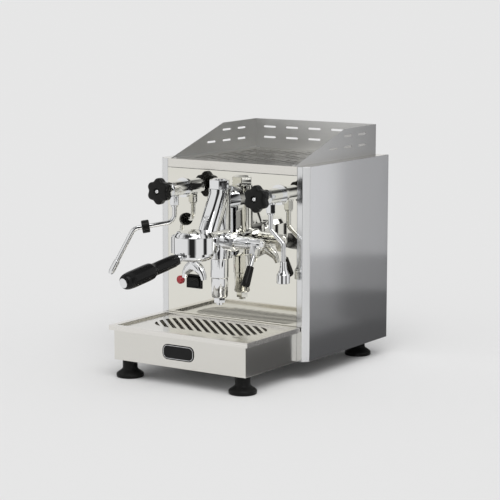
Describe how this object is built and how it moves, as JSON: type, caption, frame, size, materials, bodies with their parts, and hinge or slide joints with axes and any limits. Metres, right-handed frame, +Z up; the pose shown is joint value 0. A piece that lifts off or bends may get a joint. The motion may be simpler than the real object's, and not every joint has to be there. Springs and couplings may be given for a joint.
{
  "type": "espresso machine",
  "caption": "Box-shaped espresso machine with a lever brewing group, steam and hot water wands, drip tray and railed cup tray on top.",
  "frame": {"origin": "on the floor under the middle of the front panel's face", "axes": "+X to the machine's right as seen from the front, -Y towards the user, +Z up"},
  "size_m": [0.3339, 0.54, 0.406],
  "materials": {
    "polished_steel": "mirror polished stainless sheet",
    "brushed_steel": "brushed stainless sheet",
    "frame_steel": "satin paint",
    "chrome": "chrome plated brass",
    "steel_parts": "bright steel",
    "rubber": "black rubber",
    "black_plastic": "black phenolic",
    "red_lens": "red translucent",
    "copper": "copper",
    "brass": "brass",
    "clear_plastic": "milky plastic"
  },
  "bodies": {
    "case": {"chassis_frame": "frame_steel", "left_side_panel": "brushed_steel", "right_side_panel": "brushed_steel", "front_panel": "polished_steel", "back_panel": "brushed_steel", "drip_box": "brushed_steel", "badge_plate": "black_plastic", "rubber_feet": "rubber", "foot_bolts": "steel_parts", "panel_screws": "steel_parts", "group_bolts": "steel_parts", "group_body": "chrome", "group_cap": "chrome", "nose_plug": "chrome", "shower_screen": "steel_parts", "group_gasket": "rubber", "lower_chamber": "chrome", "drain_nozzle": "chrome", "cam_bushing": "chrome", "steam_valve_body": "chrome", "hot_water_valve_body": "chrome", "wand_nuts": "chrome", "switch_frame": "black_plastic", "indicator_lamp": "red_lens", "boiler_shell": "copper", "heating_element": "brass", "heat_exchanger": "copper", "boiler_cradle": "frame_steel", "pressure_switch": "clear_plastic", "safety_valve": "brass", "upper_circulation_pipe": "copper", "lower_circulation_pipe": "copper", "steam_pipe": "copper", "hot_water_pipe": "copper", "water_tank": "clear_plastic", "suction_hose": "clear_plastic", "vibration_pump": "black_plastic", "pump_mounts": "rubber", "feed_pipe": "clear_plastic", "control_box": "black_plastic", "power_inlet": "black_plastic"},
    "lever": {"cam_shaft": "chrome", "lever_arm": "chrome", "lever_grip": "black_plastic"},
    "steam_knob": {"steam_knob": "black_plastic"},
    "hot_water_knob": {"hot_water_knob": "black_plastic"},
    "steam_wand": {"steam_wand": "chrome", "steam_wand_grip": "rubber"},
    "hot_water_wand": {"hot_water_wand": "chrome", "hot_water_nozzle": "chrome"},
    "portafilter": {"portafilter_body": "chrome", "portafilter_handle": "black_plastic", "handle_cap": "chrome", "filter_basket": "steel_parts", "double_spout": "chrome"},
    "rocker": {"rocker": "black_plastic"},
    "drip_basin": {"drip_basin": "brushed_steel"},
    "drip_grid": {"drip_grid": "brushed_steel"},
    "cup_tray": {"cup_tray": "brushed_steel", "cup_rail": "brushed_steel"}
  },
  "joints": [
    {"name": "lever_lift", "type": "hinge", "parent": "case", "child": "lever", "pos_m": [0.074, -0.0335, 0.226], "axis": [-1, 0, 0], "range_deg": [0, 88]},
    {"name": "steam_knob_turn", "type": "hinge", "parent": "case", "child": "steam_knob", "pos_m": [-0.097, -0.072, 0.3055], "axis": [0, -1, 0], "range_deg": [0, 540]},
    {"name": "hot_water_knob_turn", "type": "hinge", "parent": "case", "child": "hot_water_knob", "pos_m": [0.097, -0.072, 0.3055], "axis": [0, -1, 0], "range_deg": [0, 540]},
    {"name": "steam_wand_swivel", "type": "hinge", "parent": "case", "child": "steam_wand", "pos_m": [-0.097, -0.0272, 0.27], "axis": [0, 0, 1], "range_deg": [-40, 50]},
    {"name": "hot_water_wand_swivel", "type": "hinge", "parent": "case", "child": "hot_water_wand", "pos_m": [0.097, -0.0272, 0.27], "axis": [0, 0, 1], "range_deg": [-75, 30]},
    {"name": "portafilter_twist", "type": "hinge", "parent": "case", "child": "portafilter", "pos_m": [0, -0.1067, 0.21], "axis": [0, 0, 1], "range_deg": [-37, 8]},
    {"name": "rocker_press", "type": "hinge", "parent": "case", "child": "rocker", "pos_m": [-0.0753, 0.0015, 0.1458], "axis": [-1, 0, 0], "range_deg": [0, 14]},
    {"name": "basin_lift", "type": "slide", "parent": "case", "child": "drip_basin", "axis": [0, 0, 1], "range_m": [0, 0.02]},
    {"name": "grid_tip", "type": "hinge", "parent": "drip_basin", "child": "drip_grid", "pos_m": [0, -0.0117, 0.083], "axis": [-1, 0, 0], "range_deg": [0, 12]},
    {"name": "tray_lift", "type": "slide", "parent": "case", "child": "cup_tray", "axis": [0, 0, 1], "range_m": [0, 0.12]}
  ]
}
